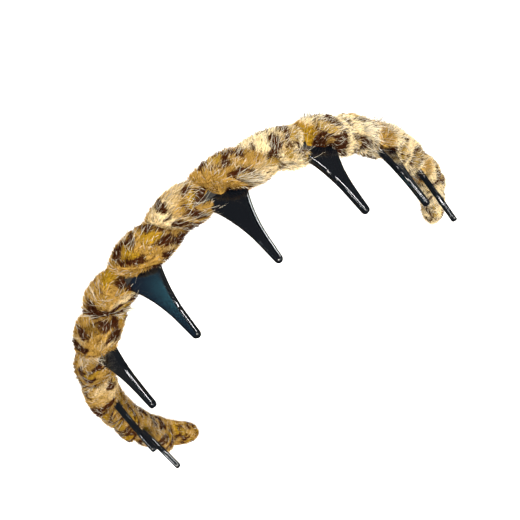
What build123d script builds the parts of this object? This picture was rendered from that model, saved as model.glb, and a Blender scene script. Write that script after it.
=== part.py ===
from build123d import *
import os
from math import asin, copysign, cos, pi, radians, sin, sqrt, tan

# Comb headband: a springy moulded hoop with a row of long teeth along one edge,
# wound with a plush ribbon. Millimetres, +Z up, +X to the wearer's right, teeth
# along -Y (the back of the head).
# Origin: the underside of the wrap at the crown, where the headband sits on the head.

# Band line, from the crown down each leg: tangent arcs, as (radius, turn in degrees).
BAND_ARCS = ((64.0, 34.5), (75.0, 29.0), (146.0, 15.0), (94.0, 23.5))

# Moulded strip, inside the wrap.
STRIP_WIDTH = 7.6
STRIP_THICKNESS = 1.9
STRIP_INSET = 1.9             # strip mid-plane, below the band line
STRIP_TONGUE_RADIUS = 3.3     # plan rounding of the two tips

# Comb teeth: flat blades with concave flanks and a full round tip.
TOOTH_PAIRS = 4
TOOTH_PITCH = 30.5
TOOTH_LENGTHS = (23.0, 22.5, 22.5, 21.6)     # from the strip's edge, crown pair first
TOOTH_LEANS = (13.0, 12.0, 12.0, 15.0)       # degrees towards the head
TOOTH_THICKNESS = 1.9
TOOTH_TIP_RADIUS = 1.1
TOOTH_FLANK_ANGLE = 4.5
TOOTH_STRAIGHT = 5.6          # straight part of the flank, up from the tip
TOOTH_FLARE_RADIUS = 43.0
TOOTH_ROOT = 0.9              # how far the root runs into the strip
TOOTH_EDGE_ROUND = 0.65

# Tape that holds the ribbon on the strip's outer face.
TAPE_WIDTH = 5.6
TAPE_THICKNESS = 0.2
TAPE_CORNER_RADIUS = 1.85
TAPE_SETBACK = 1.0            # from the wrap's ends

# Sleeve of wound plush ribbon; it swells once between each two teeth.
WRAP_WIDTH = 11.7
WRAP_HEIGHT = 10.9
WRAP_SWELL = 0.07             # how much it bulges between two teeth
WRAP_SWAY = 0.45              # how far the winding throws the wrap off its middle
SECTIONS_PER_GAP = 6
WRAP_FIT = 0.05               # room round the moulding

# Ribbon folded over each end of the strip.
CAP_LENGTH = 10.5
CAP_TIP_WIDTH = 8.0
CAP_TIP_HEIGHT = 6.8
CAP_OVERHANG = 2.4            # beyond the strip's tip
CAP_BLUNTNESS = 6             # power of the dome's curve: 2 is an ellipse
CAP_LAST_RUN = 0.97           # share of the dome's curve that is used
CAP_SECTIONS = 9

EDGE_TOLERANCE = 0.01         # for picking edges by their length or place

CROWN_HEIGHT = WRAP_HEIGHT * (1 + WRAP_SWELL) / 2
STRIP_REACH = sum(radius * radians(turn) for radius, turn in BAND_ARCS)
WRAP_REACH = STRIP_REACH + CAP_OVERHANG - CAP_LENGTH


def locate(distance, inset=0.0):
    """Point of the band line at a distance from the crown, and the turn made so far."""
    side = copysign(1.0, distance)
    left = abs(distance)
    x, z, turned = 0.0, CROWN_HEIGHT, 0.0
    for radius, turn in BAND_ARCS:
        step = min(left, radius * radians(turn)) / radius
        x += radius * (sin(turned + step) - sin(turned))
        z += radius * (cos(turned + step) - cos(turned))
        turned += step
        left -= step * radius
    x += left * cos(turned) - inset * sin(turned)
    z -= left * sin(turned) + inset * cos(turned)
    return side * x, z, side * turned


def band_plane(distance):
    """Plane across the band: its x runs along +Y, its normal along the band."""
    x, z, turned = locate(distance)
    return Plane(origin=(x, 0, z), x_dir=(0, 1, 0), z_dir=(cos(turned), 0, -sin(turned)))


def band_arcs(inset, reach):
    """The band line at an inset, as arcs from one leg to the other."""
    ends = []
    run = 0.0
    for radius, turn in BAND_ARCS:
        run += radius * radians(turn)
        ends.append(min(run, reach))
    stops = [-end for end in reversed(ends)] + ends
    arcs = []
    for first, last in zip(stops, stops[1:]):
        points = [locate(at, inset)[:2] for at in (first, (first + last) / 2, last)]
        arcs.append(ThreePointArc(*points))
    return arcs


def band_strip(width, thickness, inset, reach, tongue):
    """Flat strip that follows the band line, with rounded tongues at both tips."""
    outer = band_arcs(inset - thickness / 2, reach)
    inner = band_arcs(inset + thickness / 2, reach)
    closing = [Line(outer[0] @ 0, inner[0] @ 0), Line(outer[-1] @ 1, inner[-1] @ 1)]
    face = Plane.XZ * make_face(Curve(children=[*outer, *inner, *closing]).edges())
    strip = extrude(face, amount=width / 2, both=True)
    tips = [edge for edge in strip.edges() if abs(edge.length - thickness) < EDGE_TOLERANCE]
    return fillet(tips, tongue)


def tooth_outline(length, grow):
    """Half outline of a tooth from its root to its tip, as points of its arcs and line."""
    slope = radians(TOOTH_FLANK_ANGLE)
    tip = TOOTH_TIP_RADIUS + grow
    tip_middle = length - TOOTH_TIP_RADIUS
    shoulder = (tip * cos(slope), tip_middle + tip * sin(slope))
    join = (shoulder[0] + TOOTH_STRAIGHT * tan(slope), shoulder[1] - TOOTH_STRAIGHT)
    flare = TOOTH_FLARE_RADIUS - grow
    middle = (join[0] + flare * cos(slope), join[1] + flare * sin(slope))
    root_angle = asin((middle[1] + TOOTH_ROOT) / flare)
    half_angle = (slope + root_angle) / 2
    bend = (middle[0] - flare * cos(half_angle), middle[1] - flare * sin(half_angle))
    root = (middle[0] - flare * cos(root_angle), -TOOTH_ROOT)
    return root, bend, join, shoulder, (0.0, tip_middle + tip)


def tooth(index, grow=0.0):
    """One tooth, counted outwards from the crown on the side that index's sign says."""
    pair = abs(index) - 1
    side = copysign(1.0, index)
    x, z, turned = locate(side * (pair + 0.5) * TOOTH_PITCH, STRIP_INSET)
    lean = radians(TOOTH_LEANS[pair])
    along = Vector(cos(turned), 0, -sin(turned))
    inward = Vector(-sin(turned), 0, -cos(turned))
    points_to = Vector(0, -cos(lean), 0) + inward * sin(lean)
    plane = Plane(
        origin=(x, -STRIP_WIDTH / 2, z), x_dir=along, z_dir=along.cross(points_to)
    )
    root, bend, join, shoulder, tip = tooth_outline(TOOTH_LENGTHS[pair], grow)
    right = [ThreePointArc(root, bend, join), Line(join, shoulder)]
    left = [mirror(edge, Plane.YZ) for edge in right]
    nose = ThreePointArc(shoulder, tip, (-shoulder[0], shoulder[1]))
    heel = Line(root, (-root[0], root[1]))
    face = make_face(Curve(children=[*right, nose, *left, heel]).edges())
    thickness = TOOTH_THICKNESS + 2 * grow
    blade = extrude(face, amount=thickness / 2, both=True)
    flat = [edge for edge in blade.edges() if abs(edge.length - thickness) > EDGE_TOLERANCE]
    rounded = [edge for edge in flat if edge.center().Y > -TOOTH_ROOT + EDGE_TOLERANCE]
    return plane * fillet(rounded, TOOTH_EDGE_ROUND)


def toothed_hoop(grow=0.0):
    """The moulding: strip and teeth in one piece, or the same grown a little all round."""
    hoop = band_strip(
        STRIP_WIDTH + 2 * grow,
        STRIP_THICKNESS + 2 * grow,
        STRIP_INSET,
        STRIP_REACH,
        STRIP_TONGUE_RADIUS + grow,
    )
    for pair in range(1, TOOTH_PAIRS + 1):
        hoop = hoop + tooth(pair, grow) + tooth(-pair, grow)
    return hoop


def mounting_tape(grow=0.0):
    """Thin tape on the outer face of the strip."""
    inset = STRIP_INSET - STRIP_THICKNESS / 2 - TAPE_THICKNESS / 2
    return band_strip(
        TAPE_WIDTH + 2 * grow,
        TAPE_THICKNESS + 2 * grow,
        inset,
        WRAP_REACH - TAPE_SETBACK,
        TAPE_CORNER_RADIUS,
    )


def wrap_swell(distance):
    """Size of the wrap relative to its mean: fullest half way between two teeth."""
    return 1 + WRAP_SWELL * cos(2 * pi * distance / TOOTH_PITCH)


def wrap_sway(distance):
    """How far the winding throws the wrap off the band line, along +Y."""
    return WRAP_SWAY * sin(2 * pi * distance / TOOTH_PITCH)


def plush_wrap(pocket):
    """The winding as one sleeve that swells between the teeth, hollow for the moulding."""
    steps = round(2 * WRAP_REACH / TOOTH_PITCH * SECTIONS_PER_GAP)
    sections = []
    for step in range(steps + 1):
        distance = -WRAP_REACH + 2 * WRAP_REACH * step / steps
        swell = wrap_swell(distance)
        oval = Ellipse(WRAP_WIDTH * swell / 2, WRAP_HEIGHT * swell / 2)
        sections.append(band_plane(distance) * Pos(wrap_sway(distance), 0) * oval)
    return loft(sections) - pocket


def end_cap(side, pocket):
    """Ribbon folded over one tip: it narrows towards a domed end."""
    full = wrap_swell(WRAP_REACH)
    sway = wrap_sway(side * WRAP_REACH)
    sections = []
    for step in range(CAP_SECTIONS):
        run = sin(pi / 2 * step / (CAP_SECTIONS - 1))
        dome = sqrt(1 - (CAP_LAST_RUN * run) ** CAP_BLUNTNESS)
        width = (WRAP_WIDTH * full * (1 - run) + CAP_TIP_WIDTH * run) * dome
        height = (WRAP_HEIGHT * full * (1 - run) + CAP_TIP_HEIGHT * run) * dome
        plane = band_plane(side * (WRAP_REACH + CAP_LENGTH * run))
        sections.append(plane * Pos(sway * (1 - run), 0) * Ellipse(width / 2, height / 2))
    return loft(sections) - pocket


def main():
    os.makedirs("parts", exist_ok=True)
    hoop = toothed_hoop()
    tape = mounting_tape()
    pocket = toothed_hoop(WRAP_FIT) + mounting_tape(WRAP_FIT)
    parts = {
        "toothed_hoop": hoop,
        "mounting_tape": tape,
        "plush_wrap": plush_wrap(pocket),
        "left_end_cap": end_cap(-1, pocket),
        "right_end_cap": end_cap(1, pocket),
    }
    for name, shape in parts.items():
        shape.label = name
        export_step(shape, f"parts/{name}.step")


main()
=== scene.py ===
import math

import bpy
import numpy as np
from mathutils import Matrix, Vector


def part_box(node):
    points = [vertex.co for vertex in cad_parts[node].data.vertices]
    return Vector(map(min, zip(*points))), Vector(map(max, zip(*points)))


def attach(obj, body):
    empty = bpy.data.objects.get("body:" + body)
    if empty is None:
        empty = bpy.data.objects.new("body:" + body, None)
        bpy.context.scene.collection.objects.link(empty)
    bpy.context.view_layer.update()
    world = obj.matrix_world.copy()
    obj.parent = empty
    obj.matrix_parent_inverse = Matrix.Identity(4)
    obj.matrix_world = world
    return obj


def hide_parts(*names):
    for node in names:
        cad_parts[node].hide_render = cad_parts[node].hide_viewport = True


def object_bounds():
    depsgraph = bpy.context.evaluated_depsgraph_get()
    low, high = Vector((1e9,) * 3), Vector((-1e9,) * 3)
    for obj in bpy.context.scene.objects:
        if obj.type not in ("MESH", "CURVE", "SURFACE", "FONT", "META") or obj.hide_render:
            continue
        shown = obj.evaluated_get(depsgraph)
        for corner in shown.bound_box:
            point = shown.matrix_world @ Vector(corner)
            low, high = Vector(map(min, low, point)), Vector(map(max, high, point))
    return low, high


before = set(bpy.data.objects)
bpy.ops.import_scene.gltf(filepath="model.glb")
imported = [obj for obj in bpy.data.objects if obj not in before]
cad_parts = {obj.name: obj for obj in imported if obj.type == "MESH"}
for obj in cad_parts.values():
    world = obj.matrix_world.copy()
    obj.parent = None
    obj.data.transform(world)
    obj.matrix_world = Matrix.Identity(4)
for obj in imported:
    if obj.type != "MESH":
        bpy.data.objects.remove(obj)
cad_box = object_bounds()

# Comb headband: a glossy black moulding with eight comb teeth, wound with one long
# leopard-print plush ribbon. Metres, +Z up, teeth along -Y, crown of the head below
# the origin. Distances run along the band line from the crown, negative to the left.
# Turns of the winding are counted the same way, and the teeth are at the odd ones.

MM = 0.001
SEED = 11

rng = np.random.default_rng(SEED)

# ---------------------------------------------------------------- band and winding

BAND_ARCS = ((64.0 * MM, 34.5), (75.0 * MM, 29.0), (146.0 * MM, 15.0), (94.0 * MM, 23.5))
CROWN_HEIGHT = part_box("plush_wrap")[1].z / 2
STRIP_REACH = sum(radius * math.radians(turn) for radius, turn in BAND_ARCS)

STRIP_HALF_WIDTH = 3.8 * MM
STRIP_OUTER = -0.95 * MM                  # faces of the moulded strip, from the band line
STRIP_INNER = -2.85 * MM

TOOTH_PITCH = 30.5 * MM
TURNS_PER_GAP = 2
TURN = TOOTH_PITCH / TURNS_PER_GAP        # advance of the winding in one turn
RIBBON_END = 146.0 * MM                   # where the winding stops, each way
START_TURN = -RIBBON_END / TURN
END_TURN = RIBBON_END / TURN - 1
OVERLAP = 0.28                            # of a turn, hidden under the next one

CORE_WIDTH = 8.6 * MM                     # the winding under its pile, along Y
CORE_HEIGHT = 7.6 * MM                    # and across the band
CORE_INSET = 0.35 * MM                    # its middle, below the band line
SQUARENESS = 0.84                         # of its section: 1 is an ellipse, 0 a rectangle
SLIMMER = 0.45 * MM                       # how much tighter the right leg is wound
SLIMMER_TURNS = (0, 6)                    # where it gets tighter

PUFF = 1.35 * MM                          # how far a turn bulges between its edges
MEAN_PUFF = 0.6                           # share of it, taken as its mean over a turn
END_FLATTENING = 0.6                      # share of it that is lost at the winding's ends
CREASE = 2.0 * MM                         # how deep two turns meet
CREASE_EVERYWHERE = 0.35                  # shares of that depth
CREASE_AT_TOOTH = 0.65
CREASE_UNEVEN = 0.6
LIP = 1.7 * MM                            # rounding of a turn's upper edge
LIP_CREASE = 0.55                         # share of a crease's depth at that edge
TUCK = 3.0 * MM                           # rounding towards the edge that the next turn covers
TIGHTER_TUCK = 0.6                        # share of it that is lost at a slit
HIDDEN_DEPTH = 1.5 * MM                   # how deep hidden cloth would lie a turn further on
HIDDEN_STOPS = 4                          # how soon it ends where a slit opens
DEEPEST = 0.97                            # share of the way down to the strip

SLIT = 7.0 * MM                           # depth where two turns part at a tooth: to the strip
SLIT_WIDTH = 7.6 * MM                     # between the two turns at a tooth's root
SLIT_OPENS = (-104, -24)                  # degrees past the teeth side
SLIT_CLOSES = (36, 62)
TOOTH_STEP = 3.6 * MM                     # how far a tooth pushes the upper edge along
TOOTH_STEP_BELL = (-18, 52)               # middle and spread, in degrees round the band

ROLL = 2.2 * MM                           # how far a turn's edge is rolled out over a tooth
ROLL_WIDTH = 6.0 * MM
ROLL_BELL = (8, 48)                       # middle and spread, in degrees round the band
ROLL_FADES = (-1, 3)                      # turns, towards the right leg
ROLL_GROWS = (0.5, 4)                     # turns to the left of the crown
ROLL_GROWTH = 0.25

FOLD_HEIGHT = 0.12 * MM
FOLD_LENGTH = 2.9 * MM
DENT_HEIGHT = 0.22 * MM
DENT_LENGTH = 7.3 * MM
SWELL_HEIGHT = 0.28 * MM
SWELL_LENGTH = 17.0 * MM


def band(distance):
    """Points of the band line at distances from the crown, and the turn made so far."""
    side = np.where(distance < 0, -1.0, 1.0)
    left = np.abs(distance)
    x = np.zeros_like(left)
    z = np.full_like(left, CROWN_HEIGHT)
    turned = np.zeros_like(left)
    for radius, turn in BAND_ARCS:
        step = np.minimum(left, radius * math.radians(turn)) / radius
        x = x + radius * (np.sin(turned + step) - np.sin(turned))
        z = z + radius * (np.cos(turned + step) - np.cos(turned))
        turned = turned + step
        left = left - step * radius
    x = x + left * np.cos(turned)
    z = z - left * np.sin(turned)
    return side * x, z, side * turned


def place(distance, across, outward):
    """Points at an offset along Y and an offset outwards from the band line."""
    x, z, turned = band(distance)
    return np.stack(
        [x + outward * np.sin(turned), across + 0 * x, z + outward * np.cos(turned)], axis=-1
    )


def step_between(value, low, high):
    """0 below low, 1 above high, eased between."""
    t = np.clip((value - low) / (high - low), 0, 1)
    return t * t * (3 - 2 * t)


def bell(value, middle, spread):
    """1 at the middle, falling away on both sides."""
    return np.exp(-(((value - middle) / spread) ** 2))


def squared(value, squareness=SQUARENESS):
    """A sine or cosine bent so that the section becomes boxier."""
    return np.sign(value) * np.abs(value) ** squareness


def rounding(reach, radius):
    """1 at an edge, falling to 0 in a quarter circle of that radius."""
    t = np.clip(1 - reach / radius, 0, 1)
    return 1 - np.sqrt(1 - t * t)


def degrees_round(turns):
    """Angle of the winding round the band: 0 on the teeth side, 90 outside, -90 inside."""
    return np.degrees((math.pi - 2 * math.pi * turns) % (2 * math.pi) - math.pi)


def at_tooth(turns):
    """1 where the nearest pass on the teeth side is at a tooth, 0 where it is between two."""
    return np.abs(np.round(turns) % 2)


def upper_edge(turns):
    """Distance of the ribbon's upper edge after so many turns."""
    push = bell(degrees_round(turns), *TOOTH_STEP_BELL)
    return TURN * turns + at_tooth(turns) * TOOTH_STEP * push


def slit(turns):
    """How open the winding is where a tooth comes out of it, from 0 to 1."""
    past = -degrees_round(turns)
    opening = step_between(past, *SLIT_OPENS) * (1 - step_between(past, *SLIT_CLOSES))
    return at_tooth(turns) * opening


def crease_depth(turns):
    """Deep where the winding passes a tooth, uneven between teeth."""
    tooth = 0.5 - 0.5 * np.cos(math.pi * turns)
    uneven = 0.5 + 0.5 * np.sin(1.9 * turns + 4.0)
    share = CREASE_EVERYWHERE + CREASE_AT_TOOTH * tooth + CREASE_UNEVEN * (1 - tooth) * uneven
    return CREASE * share


def lumps(distance, angle):
    """Low folds and dents of the ribbon."""
    folds = np.sin(distance / FOLD_LENGTH + 2.0 * np.sin(angle + 1.0))
    dents = np.sin(distance / DENT_LENGTH - 3.0 * angle + 0.7)
    swells = np.sin(distance / SWELL_LENGTH + 2.0 * angle)
    return FOLD_HEIGHT * folds + DENT_HEIGHT * dents + SWELL_HEIGHT * swells


def roll_height(turns, reach):
    """The thick rolled edge that lies over the roots of the left teeth."""
    over_tooth = bell(degrees_round(turns), *ROLL_BELL) * at_tooth(turns)
    share = 1 - step_between(turns, *ROLL_FADES) + ROLL_GROWTH * step_between(-turns, *ROLL_GROWS)
    return ROLL * over_tooth * share * bell(reach, 0, ROLL_WIDTH)


def ribbon_surface(turns, across):
    """Points of the wound ribbon, their places along the band and how far they are sunk.

    Across runs from the ribbon's upper edge, in turns; sunk goes from 0 to 1 at the strip.
    """
    angle = -2 * math.pi * turns
    open_here = slit(turns)
    open_next = slit(turns + 1)
    here = upper_edge(turns)
    there = upper_edge(turns + 1) - SLIT_WIDTH * open_next
    inside = np.clip(across, 0, 1)
    hidden = np.maximum(across - 1, 0) * np.maximum(1 - HIDDEN_STOPS * open_next, 0)
    distance = here + inside * (there - here) + hidden * TURN

    lip = rounding(distance - here, LIP)
    tuck = rounding(there - distance, TUCK * (1 - TIGHTER_TUCK * open_next))
    lip_depth = LIP_CREASE * crease_depth(turns) + SLIT * open_here
    tuck_depth = crease_depth(turns + 1) + SLIT * open_next
    sink = lip * lip_depth + tuck * tuck_depth + HIDDEN_DEPTH * hidden

    ending = 1 - step_between(RIBBON_END - np.abs(distance), 0, TURN)
    puff = PUFF * (1 - END_FLATTENING * ending)
    size = puff * (1 - (2 * inside - 1) ** 2) + lumps(distance, angle)
    size = size + roll_height(turns, distance - here)
    size = size - SLIMMER * step_between(turns, *SLIMMER_TURNS)

    outer_y = -(CORE_WIDTH / 2 + size) * squared(np.cos(angle))
    outer_n = (CORE_HEIGHT / 2 + size) * squared(np.sin(angle)) - CORE_INSET
    inner_y = np.clip(outer_y, -STRIP_HALF_WIDTH, STRIP_HALF_WIDTH)
    inner_n = np.clip(outer_n, STRIP_INNER, STRIP_OUTER)
    thick = np.hypot(outer_y - inner_y, outer_n - inner_n)
    sunk = np.minimum(sink / np.maximum(thick, 0.01 * MM), DEEPEST)
    y = outer_y + sunk * (inner_y - outer_y)
    n = outer_n + sunk * (inner_n - outer_n)
    return place(distance, y, n), distance, sunk


# ---------------------------------------------------------------- folded ends

CAP_REACH = STRIP_REACH + 2.2 * MM        # the tip, from the crown
CAP_START = RIBBON_END - TURN * 1.05      # under the last turn
CAP_LENGTH = CAP_REACH - CAP_START
CAP_SQUARENESS = 0.68
CAP_BLUNTNESS = 8                         # power of the dome's outline: 2 is an ellipse
CAP_CLOSING = 0.9999                      # how nearly the dome closes at its tip
CAP_DROP = 0.7 * MM                       # of the fold's middle, at the tip
CAP_NARROWING = 0.1 * MM                  # of its half sizes, at the tip
CAP_THINNING = 0.4 * MM
BURIED = 0.7 * MM                         # how deep the fold starts under the winding
BURIED_SHARE = 0.25                       # of its length


def end_surface(side, run, angle):
    """The same for the ribbon folded over one tip of the strip; run goes from 0 to 1."""
    eased = np.sin(run * math.pi / 2)
    dome = np.sqrt(np.clip(1 - (CAP_CLOSING * eased) ** CAP_BLUNTNESS, 0, 1))
    distance = side * (CAP_START + CAP_LENGTH * eased)
    size = (MEAN_PUFF * PUFF + lumps(distance, angle) - SLIMMER * (side > 0)) * (1 - eased)
    size = size - BURIED * (1 - step_between(eased, 0.0, BURIED_SHARE))
    half_width = (CORE_WIDTH / 2 + size - CAP_NARROWING * eased) * dome
    half_height = (CORE_HEIGHT / 2 + size - CAP_THINNING * eased) * dome
    y = -half_width * squared(np.cos(angle), CAP_SQUARENESS)
    n = half_height * squared(np.sin(angle), CAP_SQUARENESS) - CORE_INSET - CAP_DROP * eased
    return place(distance, y, n), distance, 0 * distance


# ---------------------------------------------------------------- places on the print

CIRCUMFERENCE = math.pi * (CORE_WIDTH + CORE_HEIGHT) / 2 + 2 * math.pi * MEAN_PUFF * PUFF
PRINT_SHIFT = 71 * MM                     # across the ribbon: which part of the print it shows
PALE_TURNS = (-1.0, 3.2)                  # from tan on the left to pale on the right
TAN_EDGE = 0.9                            # how much less pale the edge over a tooth is
TAN_EDGE_FADES = (0.05, 0.25)             # across the ribbon
END_PRINT_START = 0.6                     # metres along the print, past the ribbon's part
END_PRINT_RADIUS = 5 * MM


def print_place(turns, across):
    """Where on the flat ribbon's print a point lies, in metres, and how pale it is there."""
    pale = step_between(turns, *PALE_TURNS)
    pale = pale - TAN_EDGE * at_tooth(turns) * (1 - step_between(across, *TAN_EDGE_FADES))
    return np.stack([turns * CIRCUMFERENCE, across * TURN + PRINT_SHIFT, pale], axis=-1)


def end_print(side, run, angle):
    """The same for the folded ends: the left one is tan, the right one is pale."""
    pale = np.full_like(angle, 0.5 + 0.4 * side)
    along = CAP_LENGTH * np.sin(run * math.pi / 2)
    return np.stack([angle * END_PRINT_RADIUS, side * (END_PRINT_START + along), pale], axis=-1)


# ---------------------------------------------------------------- cloth

STEPS_PER_TURN = 72
STEPS_ACROSS = 34                         # closer towards both edges
HIDDEN_STEPS = 4
END_ROWS = 26
END_COLUMNS = 48


def finish_mesh(name, points, corners, counts):
    """A new plush piece; corners are those of all faces in a row, counts how many each has."""
    mesh = bpy.data.meshes.new(name)
    mesh.vertices.add(len(points))
    mesh.vertices.foreach_set("co", np.asarray(points, np.float32).ravel())
    mesh.loops.add(len(corners))
    mesh.loops.foreach_set("vertex_index", np.asarray(corners, np.int32))
    mesh.polygons.add(len(counts))
    starts = np.concatenate([[0], np.cumsum(counts)[:-1]]).astype(np.int32)
    mesh.polygons.foreach_set("loop_start", starts)
    mesh.polygons.foreach_set("use_smooth", np.ones(len(counts), bool))
    mesh.update(calc_edges=True)
    made = bpy.data.objects.new(name, mesh)
    bpy.context.scene.collection.objects.link(made)
    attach(made, "root")
    return made


def add_vectors(made, name, vectors):
    """A named vector on each point of a mesh, for its material."""
    attribute = made.data.attributes.new(name, "FLOAT_VECTOR", "POINT")
    attribute.data.foreach_set("vector", np.asarray(vectors, np.float32).ravel())


def grid_mesh(name, points, spots):
    """A piece with four-cornered faces between the points of a grid, and its print places."""
    rows, columns = points.shape[:2]
    corner = (np.arange(rows - 1)[:, None] * columns + np.arange(columns - 1)).ravel()
    squares = corner[:, None] + np.array([0, 1, columns + 1, columns])
    made = finish_mesh(name, points.reshape(-1, 3), squares.ravel(), [4] * len(squares))
    add_vectors(made, "print_at", spots)
    return made


def build_ribbon():
    """The whole ribbon as one sheet, with what each turn hides under the next."""
    rows = round((END_TURN - START_TURN) * STEPS_PER_TURN) + 1
    visible = 0.5 - 0.5 * np.cos(np.linspace(0, math.pi, STEPS_ACROSS))
    hidden = np.linspace(1, 1 + OVERLAP, HIDDEN_STEPS + 1)[1:]
    stations = np.concatenate([visible, hidden])
    turns, across = np.meshgrid(
        np.linspace(START_TURN, END_TURN, rows), stations, indexing="ij"
    )
    points = ribbon_surface(turns, across)[0]
    made = grid_mesh("plush_ribbon", points, print_place(turns, across))
    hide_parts("plush_wrap")
    return made


def build_end(side, node):
    run, angle = np.meshgrid(
        np.linspace(0, 1, END_ROWS), np.linspace(0, 2 * math.pi, END_COLUMNS), indexing="ij"
    )
    points = end_surface(side, run, angle)[0]
    made = grid_mesh(node.replace("cap", "fold"), points, end_print(side, run, angle))
    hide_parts(node)
    return made


# ---------------------------------------------------------------- pile

PILE_PER_TURN = 5600
PILE_ACROSS = (0.002, 0.998)
PILE_LENGTH = (1.0 * MM, 2.1 * MM)
PILE_WIDTH = (0.12 * MM, 0.21 * MM)
PILE_LEAN = (26, 8)                       # degrees off the cloth, and their spread
PILE_LEAN_LIMITS = (6, 60)
PILE_TUFT_LEAN = 6                        # spread of the lean from tuft to tuft
CREASE_LEAN = 20                          # how much more the pile stands up in creases
COMB_AT_SLIT = 1.9                        # radians from along the band, next to a tooth
NEXT_TO_SLIT = (0.6, 0.85)                # across the ribbon
NEXT_TO_LIP = (0.1, 0.35)
SHORTER_AT_SLIT = 0.25
SHORTER_AT_LIP = 0.15
DEEPEST_PILE = 0.9                        # how far down a slit's walls it grows
# Pale hairs are partly the pile's own pale fibres, partly painted highlight.
PALE_SHARE = (0.04, 0.13)                 # of the pile's hairs, on the left and on the right
DARK_SHARE = 0.05

TUFTS_PER_TURN = 30                       # round one turn of the winding
TUFTS_ACROSS = 13
TUFT_TABLE = (97, 89)                     # tufts before their random numbers repeat
TUFT_COMB = 0.2                           # spread of the combing from tuft to tuft
HAIR_COMB = 0.15                          # and from hair to hair
SWEEP_MIDDLE = -0.2                       # how handling swept the pile about, in radians
SWEEP = 0.5
SWEEP_LENGTH = 9 * MM

PILE_OF_END = 3000
END_ALONG = (0.02, 0.995)
END_COMB = (0.3, 0.6)                     # middle and spread, in radians
END_LEAN_LIMITS = (4, 60)

GUARD_PER_TURN = 260                      # sparse long hairs over the pile
GUARD_ACROSS = (0.03, 0.85)
GUARD_LENGTH = (2.4 * MM, 7.0 * MM)
GUARD_WIDTH = (0.07 * MM, 0.13 * MM)
GUARD_LEAN = (30, 13)
GUARD_LEAN_LIMITS = (5, 70)
GUARD_COMB_SPREAD = 0.45
GUARD_SHORTENING = 0.6                    # at slits, and again in creases
# Pale guard hairs are partly pale fibres, partly painted highlight.
GUARD_PALE_SHARE = 0.72

LOOSE_HAIRS = 70                          # in each tuft pulled out of the pile
LOOSE_LENGTH = (3.0 * MM, 7.5 * MM)
LOOSE_LEAN_SPREAD = 12
LOOSE_LEAN_LIMITS = (5, 80)
LOOSE_TURN_SPREAD = 0.035
LOOSE_ACROSS_SPREAD = 0.05
LOOSE_TUFTS = (                           # turn, across, heading and lean of the hairs
    (0.97, 0.25, 0.2, 38),
    (4.80, 0.10, -0.3, 38),
    (3.86, 0.25, 0.4, 38),
    (2.60, 0.45, 0.3, 66),
    (4.62, 0.30, 0.2, 66),
    (5.60, 0.30, -0.2, 66),
    (-1.93, 0.08, 1.4, 38),
    (-3.22, 0.02, 2.9, 38),
)

# A hair's kind runs from 0 to 1. Only the printed ones take the print's colour.
DARK_KIND = 0.02
PRINTED_KINDS = (0.1, 0.9)
PALE_KIND = 0.97

HAIR_RINGS = 3
HAIR_CORNERS = 3                          # of each ring
HAIR_TAPER = 0.75
HAIR_CURL = 0.15                          # spread, as shares of a hair's length
HAIR_DROOP = (0.02, 0.28)
ROOT_DEPTH = 0.04 * MM
TRIES = 6                                 # places tried for each hair
PROBE = 0.002                             # step to both sides that finds a surface's slope
WIDE_PROBE = 0.004


def unit(vectors):
    return vectors / np.maximum(np.linalg.norm(vectors, axis=-1, keepdims=True), 1e-12)


class Roots:
    """Places on a surface, with its normal and its directions along and round the band."""

    def __init__(self, surface, first, second, probe):
        self.first = first
        self.second = second
        self.at, self.distance, self.sunk = surface(first, second)
        along = surface(first, second + probe)[0] - surface(first, second - probe)[0]
        round_ = surface(first + probe, second)[0] - surface(first - probe, second)[0]
        facing = np.cross(round_, along)
        self.area = np.linalg.norm(facing, axis=-1)
        self.normal = unit(facing)
        self.along = unit(along)
        self.round_ = unit(round_)


def scatter(surface, firsts, seconds, count, probe):
    """Random roots, as dense where a surface is stretched as elsewhere, denser in creases."""
    first = rng.uniform(*firsts, TRIES * count)
    second = rng.uniform(*seconds, TRIES * count)
    tried = Roots(surface, first, second, probe)
    reachable = tried.sunk < DEEPEST_PILE
    weight = tried.area * reachable * (1 + 2 * np.minimum(4 * tried.sunk, 1))
    chosen = rng.choice(TRIES * count, count, replace=False, p=weight / weight.sum())
    return Roots(surface, first[chosen], second[chosen], probe)


def hair_faces(count):
    """Corners of all faces of so many hairs, and how many each face has."""
    points_each = HAIR_RINGS * HAIR_CORNERS + 1
    pattern = list(reversed(range(HAIR_CORNERS)))
    counts = [HAIR_CORNERS]
    last = HAIR_CORNERS * (HAIR_RINGS - 1)
    for low in range(0, last, HAIR_CORNERS):
        high = low + HAIR_CORNERS
        for corner in range(HAIR_CORNERS):
            after = (corner + 1) % HAIR_CORNERS
            pattern += [low + corner, low + after, high + after, high + corner]
            counts.append(4)
    for corner in range(HAIR_CORNERS):
        pattern += [last + corner, last + (corner + 1) % HAIR_CORNERS, points_each - 1]
        counts.append(3)
    corners = np.arange(count)[:, None] * points_each + np.array(pattern)[None, :]
    return corners.ravel(), counts * count


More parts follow.
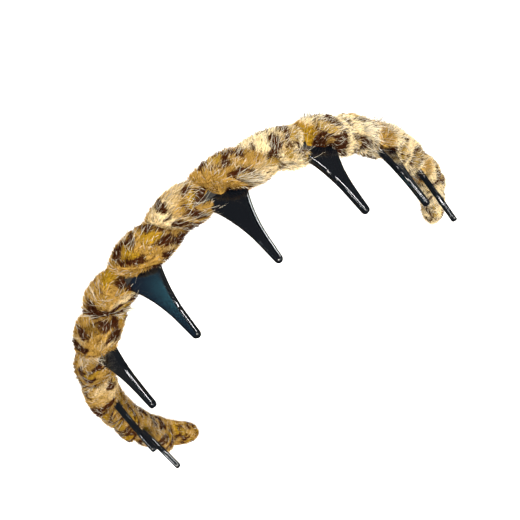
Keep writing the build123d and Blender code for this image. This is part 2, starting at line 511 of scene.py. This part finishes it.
def grow(name, roots, comb, lean, length, width, spots, tones):
    """Closed tapering hairs, each bent towards the surface that it grows from.

    Comb turns them from along the band to round it, and lean lifts them off the surface.
    """
    count = len(roots.at)
    flat = np.cos(comb)[:, None] * roots.along + np.sin(comb)[:, None] * roots.round_
    heading = unit(np.cos(lean)[:, None] * flat + np.sin(lean)[:, None] * roots.normal)
    curl = rng.normal(0, HAIR_CURL, count)[:, None]
    droop = -rng.uniform(*HAIR_DROOP, count)[:, None]
    start = roots.at - ROOT_DEPTH * roots.normal
    side = unit(np.cross(heading, roots.normal))
    up = np.cross(side, heading)
    bend = curl * side + droop * up
    rings = []
    for ring in range(HAIR_RINGS):
        t = ring / HAIR_RINGS
        middle = start + length[:, None] * (heading * t + bend * t**2)
        radius = width[:, None] / 2 * (1 - HAIR_TAPER * t)
        for corner in range(HAIR_CORNERS):
            turn = 2 * math.pi * corner / HAIR_CORNERS
            rings.append(middle + radius * (math.cos(turn) * side + math.sin(turn) * up))
    rings.append(start + length[:, None] * (heading + bend))
    points = np.stack(rings, axis=1)
    points_each = points.shape[1]
    made = finish_mesh(name, points.reshape(-1, 3), *hair_faces(count))
    along = np.repeat(np.arange(HAIR_RINGS + 1) / HAIR_RINGS, [HAIR_CORNERS] * HAIR_RINGS + [1])
    hair = np.column_stack([np.tile(along, count), np.repeat(tones, points_each, axis=0)])
    add_vectors(made, "hair", hair)
    add_vectors(made, "print_at", np.repeat(spots, points_each, axis=0))
    return made


def tuft_values(first, second, spread):
    """One random number for each small tuft of the pile, given to all of its hairs."""
    table = rng.normal(0, 1, TUFT_TABLE)
    # The sines make the borders between tufts wavy.
    rows = np.floor(first * TUFTS_PER_TURN + 0.4 * np.sin(second * 40)).astype(int)
    columns = np.floor(second * TUFTS_ACROSS + 0.4 * np.sin(first * 90)).astype(int)
    return spread * table[rows % TUFT_TABLE[0], columns % TUFT_TABLE[1]]


def combing(roots):
    """Which way the pile lies: mostly along the band, swept about by handling."""
    angle = -2 * math.pi * roots.first
    sweep = SWEEP_MIDDLE + SWEEP * np.sin(roots.distance / SWEEP_LENGTH + angle)
    tufts = tuft_values(roots.first, roots.second, TUFT_COMB)
    return sweep + tufts + rng.normal(0, HAIR_COMB, len(angle))


def pile_tones(spots):
    """How light each hair of the pile is, and its kind: pale, dark or printed."""
    count = len(spots)
    lightness = rng.uniform(0, 1, count)
    lot = rng.uniform(0, 1, count)
    printed = rng.uniform(*PRINTED_KINDS, count)
    pale_share = np.interp(spots[:, 2], (0, 1), PALE_SHARE)
    kinds = np.where(lot > 1 - DARK_SHARE, DARK_KIND, printed)
    return np.column_stack([lightness, np.where(lot < pale_share, PALE_KIND, kinds)])


def long_tones(count, pale_share):
    """The same for long hairs, which are pale or dark."""
    pale = rng.uniform(0, 1, count) < pale_share
    lightness = rng.uniform(0, 1, count)
    return np.column_stack([lightness, np.where(pale, PALE_KIND, DARK_KIND)])


def pile_of_turn(first, last, number):
    count = int(PILE_PER_TURN * (last - first))
    roots = scatter(ribbon_surface, (first, last), PILE_ACROSS, count, PROBE)
    turns = roots.first
    across = roots.second
    near_slit = slit(turns + 1) * step_between(across, *NEXT_TO_SLIT)
    near_lip = slit(turns) * (1 - step_between(across, *NEXT_TO_LIP))
    comb = combing(roots) * (1 - near_slit) + COMB_AT_SLIT * near_slit
    lean = rng.normal(*PILE_LEAN, count) + tuft_values(turns, across, PILE_TUFT_LEAN)
    lean = lean.clip(*PILE_LEAN_LIMITS) + CREASE_LEAN * np.minimum(3 * roots.sunk, 1)
    length = rng.uniform(*PILE_LENGTH, count)
    length = length * (1 - SHORTER_AT_SLIT * near_slit) * (1 - SHORTER_AT_LIP * near_lip)
    width = rng.uniform(*PILE_WIDTH, count)
    spots = print_place(turns, across)
    tones = pile_tones(spots)
    name = f"pile_{number:02d}"
    return grow(name, roots, comb, np.radians(lean), length, width, spots, tones)


def guard_hairs(first, last, number):
    """Long pale and dark hairs that stray over the pile; the pale ones are partly painted
    highlight.
    """
    count = int(GUARD_PER_TURN * (last - first))
    roots = scatter(ribbon_surface, (first, last), GUARD_ACROSS, count, WIDE_PROBE)
    comb = combing(roots) + rng.normal(0, GUARD_COMB_SPREAD, count)
    lean = rng.normal(*GUARD_LEAN, count).clip(*GUARD_LEAN_LIMITS)
    length = rng.uniform(*GUARD_LENGTH, count) * (1 - GUARD_SHORTENING * slit(roots.first))
    length = length * (1 - GUARD_SHORTENING * roots.sunk)
    width = rng.uniform(*GUARD_WIDTH, count)
    spots = print_place(roots.first, roots.second)
    tones = long_tones(count, GUARD_PALE_SHARE)
    name = f"guard_hair_{number:02d}"
    return grow(name, roots, comb, np.radians(lean), length, width, spots, tones)


def loose_tuft(number, turn, across, heading, lift):
    """A few dozen long hairs pulled out of the pile, more of them dark where they stand up."""
    count = LOOSE_HAIRS
    turns = rng.normal(turn, LOOSE_TURN_SPREAD, count)
    places = np.abs(rng.normal(across, LOOSE_ACROSS_SPREAD, count))
    roots = Roots(ribbon_surface, turns, places, WIDE_PROBE)
    comb = rng.normal(heading, GUARD_COMB_SPREAD, count)
    lean = rng.normal(lift, LOOSE_LEAN_SPREAD, count).clip(*LOOSE_LEAN_LIMITS)
    length = rng.uniform(*LOOSE_LENGTH, count)
    width = rng.uniform(*GUARD_WIDTH, count)
    spots = print_place(turns, places)
    tones = long_tones(count, 1.2 - lift / 90)
    name = f"loose_tuft_{number}"
    return grow(name, roots, comb, np.radians(lean), length, width, spots, tones)


def pile_of_end(side, node):
    def surface(at_angle, at_run):
        return end_surface(side, np.clip(at_run, 0, 1), at_angle)

    count = PILE_OF_END
    roots = scatter(surface, (0, 2 * math.pi), END_ALONG, count, PROBE)
    roots.normal = -side * roots.normal
    middle, spread = END_COMB
    comb = middle * side + rng.normal(0, spread, count)
    lean = rng.normal(*PILE_LEAN, count).clip(*END_LEAN_LIMITS)
    length = rng.uniform(*PILE_LENGTH, count)
    width = rng.uniform(*PILE_WIDTH, count)
    spots = end_print(side, roots.second, roots.first)
    tones = pile_tones(spots)
    name = node.replace("cap", "pile")
    return grow(name, roots, comb, np.radians(lean), length, width, spots, tones)


def build_pile():
    """Pile and guard hairs turn by turn, then the loose tufts and the pile of both ends."""
    stops = np.linspace(START_TURN, END_TURN, round(END_TURN - START_TURN) + 1)
    made = []
    for number, (first, last) in enumerate(zip(stops, stops[1:]), start=1):
        made.append(pile_of_turn(first, last, number))
        made.append(guard_hairs(first, last, number))
    for number, tuft in enumerate(LOOSE_TUFTS, start=1):
        made.append(loose_tuft(number, *tuft))
    return made + [pile_of_end(-1, "left_end_cap"), pile_of_end(1, "right_end_cap")]


# ---------------------------------------------------------------- materials

BLACK = (0.003, 0.004, 0.006)
TAPE_DARK = (0.010, 0.010, 0.011)
TAPE_LIGHT = (0.030, 0.029, 0.028)
WHITE = (1.0, 1.0, 1.0)
FLOOR_GREY = (0.93, 0.93, 0.93)

TAN = (0.49, 0.285, 0.062)
CREAM = (0.95, 0.77, 0.44)
MUSTARD = (0.45, 0.255, 0.010)
BROWN = (0.052, 0.013, 0.003)
HAIR_TIP = (0.86, 0.74, 0.50)
# Partly the colour of pale fibres, partly a painted highlight in place of the fur's gloss.
PALE_HAIR_AND_HIGHLIGHT = (1.0, 0.92, 0.73)
DARK_HAIR = (0.060, 0.020, 0.007)
HAIR_ROUGHNESS = 0.6

CELLS_PER_METRE = 140                     # one spot of the print in each cell
CELL_STRETCH = (0.95, 1.05, 1.0)
WOBBLE = 3.4 * MM                         # how far noise pulls the spots' outlines about
SPOT_SIZES = (0.46, 0.6)                  # reach from a cell's middle
KIND_SIZES = (0.95, 1.03)                 # times that, for solid spots and for rings
RING_LOTS = (0.34, 0.42)                  # cells with lots above these have rings
HEART = 0.46                              # size of a ring's heart, as a share of the ring's
HEART_STRENGTH = 0.85
PALE_CREAM = 0.45                         # how much more creamy the pale side is
CREAM_PATCHES = (0.57, 0.79)


class Graph:
    """The nodes of one new material. Numbers and tuples are set, outputs are linked."""

    def __init__(self, name):
        self.material = bpy.data.materials.new(name)
        self.material.use_nodes = True
        self.nodes = self.material.node_tree.nodes
        self.links = self.material.node_tree.links
        self.shader = self.nodes["Principled BSDF"]

    def node(self, kind, **settings):
        added = self.nodes.new("ShaderNode" + kind)
        for key, value in settings.items():
            setattr(added, key, value)
        return added

    def put(self, socket, value):
        if isinstance(value, bpy.types.NodeSocket):
            self.links.new(value, socket)
        elif socket.type == "RGBA":
            socket.default_value = (*value, 1)
        else:
            socket.default_value = value

    def shade(self, **values):
        """Sets the shader's inputs, with _ for the spaces in their names."""
        for name, value in values.items():
            self.put(self.shader.inputs[name.replace("_", " ")], value)

    def bump(self, height, strength, distance):
        added = self.node("Bump")
        self.put(added.inputs["Strength"], strength)
        self.put(added.inputs["Distance"], distance)
        self.put(added.inputs["Height"], height)
        self.shade(Normal=added.outputs["Normal"])

    def vector(self, attribute):
        """One of the named vectors that the mesh carries."""
        return self.node("Attribute", attribute_name=attribute).outputs["Vector"]

    def xyz(self, vector):
        added = self.node("SeparateXYZ")
        self.put(added.inputs[0], vector)
        return added.outputs

    def calculate(self, operation, *values, kind="Math"):
        added = self.node(kind, operation=operation)
        for socket, value in zip(added.inputs, values):
            self.put(socket, value)
        return added.outputs[0]

    def ramp(self, value, low, high, to_low=0.0, to_high=1.0, ease="SMOOTHSTEP"):
        added = self.node("MapRange", interpolation_type=ease)
        self.put(added.inputs["Value"], value)
        self.put(added.inputs["From Min"], low)
        self.put(added.inputs["From Max"], high)
        self.put(added.inputs["To Min"], to_low)
        self.put(added.inputs["To Max"], to_high)
        return added.outputs["Result"]

    def mix(self, factor, first, second):
        added = self.node("Mix", data_type="RGBA")
        self.put(added.inputs[0], factor)
        self.put(added.inputs[6], first)
        self.put(added.inputs[7], second)
        return added.outputs[2]

    def noise(self, scale, detail=2.0, where=None):
        """Noise on the ribbon's flat print, or in space."""
        added = self.node("TexNoise")
        self.put(added.inputs["Scale"], scale)
        self.put(added.inputs["Detail"], detail)
        if where is not None:
            added.noise_dimensions = "2D"
            self.put(added.inputs["Vector"], where)
        return added.outputs


def black_moulding():
    """Polished plastic with faint flow marks."""
    graph = Graph("black_moulding")
    marks = graph.noise(160, 3)["Fac"]
    graph.shade(Base_Color=BLACK, IOR=1.5)
    graph.shade(Roughness=graph.ramp(marks, 0, 1, 0.03, 0.10, ease="LINEAR"))
    graph.bump(marks, 0.05, 0.2 * MM)
    return graph.material


def tape_material():
    graph = Graph("mounting_tape")
    fibres = graph.noise(900)["Fac"]
    graph.shade(Base_Color=graph.mix(fibres, TAPE_DARK, TAPE_LIGHT), Roughness=0.7)
    return graph.material


def floor_material():
    graph = Graph("pale_floor")
    graph.shade(Base_Color=FLOOR_GREY, Roughness=0.9)
    graph.shade(Emission_Color=WHITE, Emission_Strength=0.55)
    return graph.material


def leopard_print(graph):
    """Solid brown spots, and broken brown rings with mustard hearts, on tan to cream."""
    where = graph.vector("print_at")
    pull = graph.noise(260, where=where)["Color"]
    pulled = graph.calculate("MULTIPLY_ADD", pull, (WOBBLE, WOBBLE, 0), where, kind="VectorMath")
    stretched = graph.calculate("MULTIPLY", pulled, CELL_STRETCH, kind="VectorMath")
    cells = graph.node("TexVoronoi", voronoi_dimensions="2D")
    graph.put(cells.inputs["Scale"], CELLS_PER_METRE)
    graph.put(cells.inputs["Randomness"], 0.75)
    graph.put(cells.inputs["Vector"], stretched)
    lots = graph.node("SeparateColor")
    graph.put(lots.inputs[0], cells.outputs["Color"])
    reach = cells.outputs["Distance"]

    is_ring = graph.ramp(lots.outputs[1], *RING_LOTS)
    size = graph.ramp(lots.outputs[0], 0, 1, *SPOT_SIZES)
    size = graph.calculate("MULTIPLY", size, graph.ramp(is_ring, 0, 1, *KIND_SIZES))
    past_spot = graph.calculate("SUBTRACT", reach, size)
    spot = graph.ramp(past_spot, -0.05, 0.03, 1, 0)
    past_heart = graph.calculate("SUBTRACT", reach, graph.calculate("MULTIPLY", size, HEART))
    heart = graph.calculate("MULTIPLY", graph.ramp(past_heart, -0.05, 0.05, 1, 0), is_ring)
    broken = graph.ramp(graph.noise(210, 1, where)["Fac"], 0.42, 0.48)
    ring = graph.calculate("MULTIPLY", spot, graph.calculate("SUBTRACT", 1.0, heart))
    ring = graph.calculate("MULTIPLY", ring, broken)

    pale = graph.calculate("MULTIPLY", graph.xyz(where)[2], PALE_CREAM)
    creamy = graph.calculate("ADD", graph.noise(70, 3, where)["Fac"], pale)
    ground = graph.mix(graph.ramp(creamy, *CREAM_PATCHES), TAN, CREAM)
    hearts = graph.mix(graph.calculate("MULTIPLY", heart, HEART_STRENGTH), ground, MUSTARD)
    return graph.mix(ring, hearts, BROWN)


def cloth_material():
    """The ribbon's cloth under its pile, with its nap as a bump."""
    graph = Graph("leopard_plush")
    graph.shade(Base_Color=leopard_print(graph), Roughness=HAIR_ROUGHNESS, Specular_IOR_Level=0)
    nap = graph.noise(3200, where=graph.vector("print_at"))["Fac"]
    graph.bump(nap, 0.7, 0.4 * MM)
    return graph.material


def hair_material():
    """Hairs in the colours of the print and of their kinds, with painted shade that darkens them
    towards the root.
    """
    graph = Graph("leopard_pile")
    along, lightness, kind = graph.xyz(graph.vector("hair"))
    near_tip = graph.ramp(along, 0.5, 1.0, 0.0, 0.2)
    tip = graph.calculate("MULTIPLY", near_tip, graph.ramp(lightness, 0.3, 1.0))
    colour = graph.mix(tip, leopard_print(graph), HAIR_TIP)
    # Pale hairs: partly their own pale colour, partly painted highlight.
    colour = graph.mix(graph.ramp(kind, 0.93, 0.95, 0.0, 0.85), colour, PALE_HAIR_AND_HIGHLIGHT)
    colour = graph.mix(graph.ramp(kind, 0.05, 0.04), colour, DARK_HAIR)
    # Painted shade: each hair is darker towards its root, where the pile shades itself;
    # hair_to_hair is a random tone.
    painted_root_shade = graph.ramp(along, 0.0, 0.7, 0.45, 1.05)
    hair_to_hair = graph.ramp(lightness, 0.0, 1.0, 0.68, 1.22)
    toned_and_root_shaded = graph.node("HueSaturation")
    graph.put(toned_and_root_shaded.inputs["Color"], colour)
    graph.put(toned_and_root_shaded.inputs["Value"], graph.calculate("MULTIPLY", painted_root_shade, hair_to_hair))
    graph.shade(Base_Color=toned_and_root_shaded.outputs["Color"], Roughness=HAIR_ROUGHNESS)
    graph.shade(Specular_IOR_Level=0)
    return graph.material


def dress(made, material):
    made.data.materials.clear()
    made.data.materials.append(material)


# ---------------------------------------------------------------- stage, lights and camera

FLOOR_RADIUS = 0.6
FLOOR_GAP = 0.4 * MM                      # below the headband's lowest point
WORLD_SEEN = 1.0                          # strength of the white world, as the camera sees it
WORLD_AS_LIGHT = 0.40
WORLD_IN_GLOSS = 0.10
LIGHTS_AIM = Vector((0, 0, -0.03))

CAMERA_AT = (16.68 * MM, -84.75 * MM, 98.14 * MM)
CAMERA_HEADING = -8.6587                  # degrees from +Y towards +X
CAMERA_PITCH = -57.9438                   # degrees above level
CAMERA_ROLL = -50.0186                    # degrees counter-clockwise, seen from behind it
CAMERA_LENS = 34.02
CAMERA_SHIFT = (0.0141, 0.0173)


def build_floor():
    low = cad_box[0].z - FLOOR_GAP
    bpy.ops.mesh.primitive_circle_add(
        radius=FLOOR_RADIUS, vertices=96, fill_type="NGON", location=(0, 0, low)
    )
    floor = bpy.context.object
    floor.name = "floor"
    floor.visible_glossy = False
    dress(floor, floor_material())


def build_world():
    """A white world that lights less than the camera sees, and glossy faces the least."""
    world = bpy.data.worlds.new("studio")
    bpy.context.scene.world = world
    world.use_nodes = True
    nodes = world.node_tree.nodes
    links = world.node_tree.links
    ray = nodes.new("ShaderNodeLightPath")
    dimmed = nodes.new("ShaderNodeMapRange")
    dimmed.inputs["To Min"].default_value = WORLD_AS_LIGHT
    dimmed.inputs["To Max"].default_value = WORLD_IN_GLOSS
    links.new(ray.outputs["Is Glossy Ray"], dimmed.inputs["Value"])
    strength = nodes.new("ShaderNodeMix")
    links.new(ray.outputs["Is Camera Ray"], strength.inputs[0])
    links.new(dimmed.outputs["Result"], strength.inputs[2])
    strength.inputs[3].default_value = WORLD_SEEN
    nodes["Background"].inputs["Color"].default_value = (*WHITE, 1)
    links.new(strength.outputs[0], nodes["Background"].inputs["Strength"])


def add_light(name, place_at, size, power, colour=WHITE, lights_cloth=True):
    """A soft box aimed at the headband, its longer side along the teeth."""
    light = bpy.data.lights.new(name, "AREA")
    light.shape = "RECTANGLE"
    light.size, light.size_y = size
    light.energy = power
    light.color = colour
    made = bpy.data.objects.new(name, light)
    away = (Vector(place_at) - LIGHTS_AIM).normalized()
    short = Vector((0, 1, 0)).cross(away).normalized()
    turned = Matrix((short, away.cross(short), away)).transposed()
    made.matrix_world = Matrix.Translation(place_at) @ turned.to_4x4()
    made.visible_diffuse = lights_cloth
    bpy.context.scene.collection.objects.link(made)


def add_lights():
    """Three soft boxes, and four more that only show in the moulding's gloss."""
    add_light("key", (0.10, -0.50, 0.88), (0.28, 0.28), 16, (1.0, 0.95, 0.86))
    add_light("fill", (0.55, -0.65, 0.40), (0.3, 0.5), 4)
    add_light("back", (0.15, 0.80, 0.30), (0.3, 0.3), 6, (1.0, 0.97, 0.92))
    add_light("right_strip", (0.63, 0.22, 0.55), (0.10, 0.40), 15, lights_cloth=False)
    add_light("top_strip", (-0.20, 0.24, 0.86), (0.06, 0.30), 8, lights_cloth=False)
    add_light("window", (-0.62, 0.20, 0.72), (0.14, 0.30), 0.045, (0.06, 0.36, 1.0), False)
    add_light("pane", (-0.58, 0.16, 0.72), (0.012, 0.10), 0.03, (0.20, 0.85, 1.0), False)


def add_camera():
    camera = bpy.data.cameras.new("camera")
    camera.lens = CAMERA_LENS
    camera.shift_x, camera.shift_y = CAMERA_SHIFT
    camera.clip_start = 0.01
    camera.clip_end = 20
    heading = Matrix.Rotation(math.radians(-CAMERA_HEADING), 4, "Z")
    pitch = Matrix.Rotation(math.radians(90 + CAMERA_PITCH), 4, "X")
    roll = Matrix.Rotation(math.radians(CAMERA_ROLL), 4, "Z")
    made = bpy.data.objects.new("camera", camera)
    made.matrix_world = Matrix.Translation(CAMERA_AT) @ heading @ pitch @ roll
    bpy.context.scene.collection.objects.link(made)
    bpy.context.scene.camera = made


# ---------------------------------------------------------------- build

ribbon = build_ribbon()
ends = [build_end(-1, "left_end_cap"), build_end(1, "right_end_cap")]
pile = build_pile()
cloth = cloth_material()
hairs = hair_material()
for made in [ribbon, *ends]:
    dress(made, cloth)
for made in pile:
    dress(made, hairs)
dress(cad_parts["toothed_hoop"], black_moulding())
dress(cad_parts["mounting_tape"], tape_material())

build_floor()
build_world()
add_lights()
add_camera()
bpy.context.scene.view_settings.view_transform = "Standard"

bpy.context.view_layer.update()
